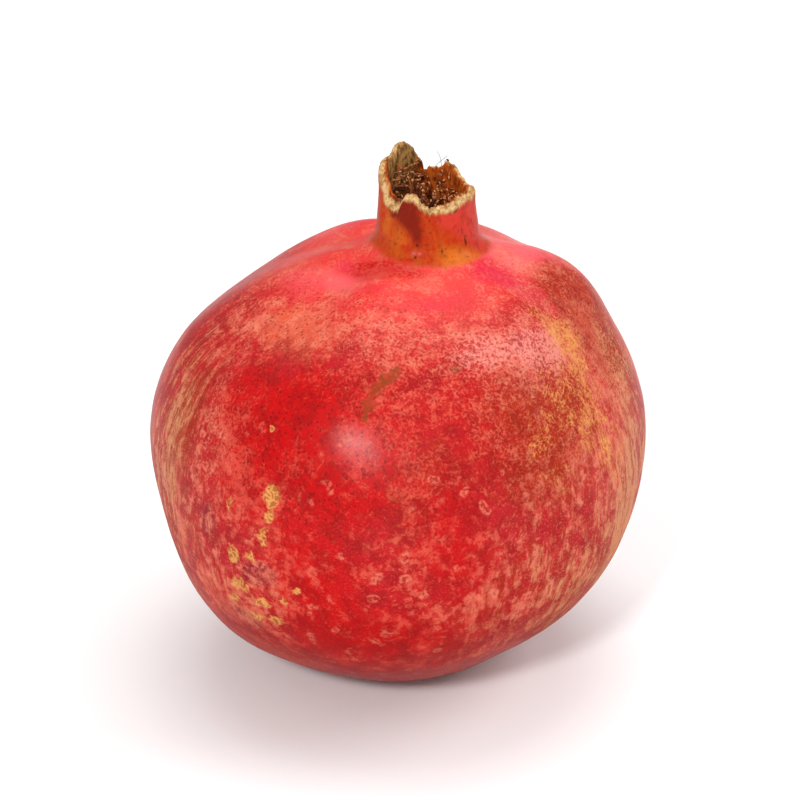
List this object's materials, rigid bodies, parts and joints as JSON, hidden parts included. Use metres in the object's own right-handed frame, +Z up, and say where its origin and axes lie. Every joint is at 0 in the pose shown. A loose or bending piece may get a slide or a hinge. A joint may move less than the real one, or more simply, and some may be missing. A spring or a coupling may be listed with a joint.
{
  "type": "pomegranate",
  "caption": "Whole ripe pomegranate standing on its stem end, with a short calyx tube, a torn dried crown with stamens in its cup, and a cut stalk underneath.",
  "frame": {"origin": "middle of the small flat spot that the fruit rests on, at the bottom of the fruit and in the middle of its box", "axes": "+Z up, from the stem end to the crown; the calyx tube leans off the middle towards +X; the tallest lobe of the crown stands at the back left, towards -X and +Y"},
  "size_m": [0.0977, 0.0949, 0.1066],
  "materials": {
    "rind": "satin, waxy rind, mottled red with russet and yellow patches; the crown's edge is dry and straw coloured",
    "dried_stamens": "dry and matt, rust brown with tan tips",
    "stalk_wood": "raw, grey brown, with a pale cut end"
  },
  "bodies": {
    "root": {"fruit": "rind", "stamens": "dried_stamens", "stalk": "stalk_wood"}
  },
  "joints": []
}
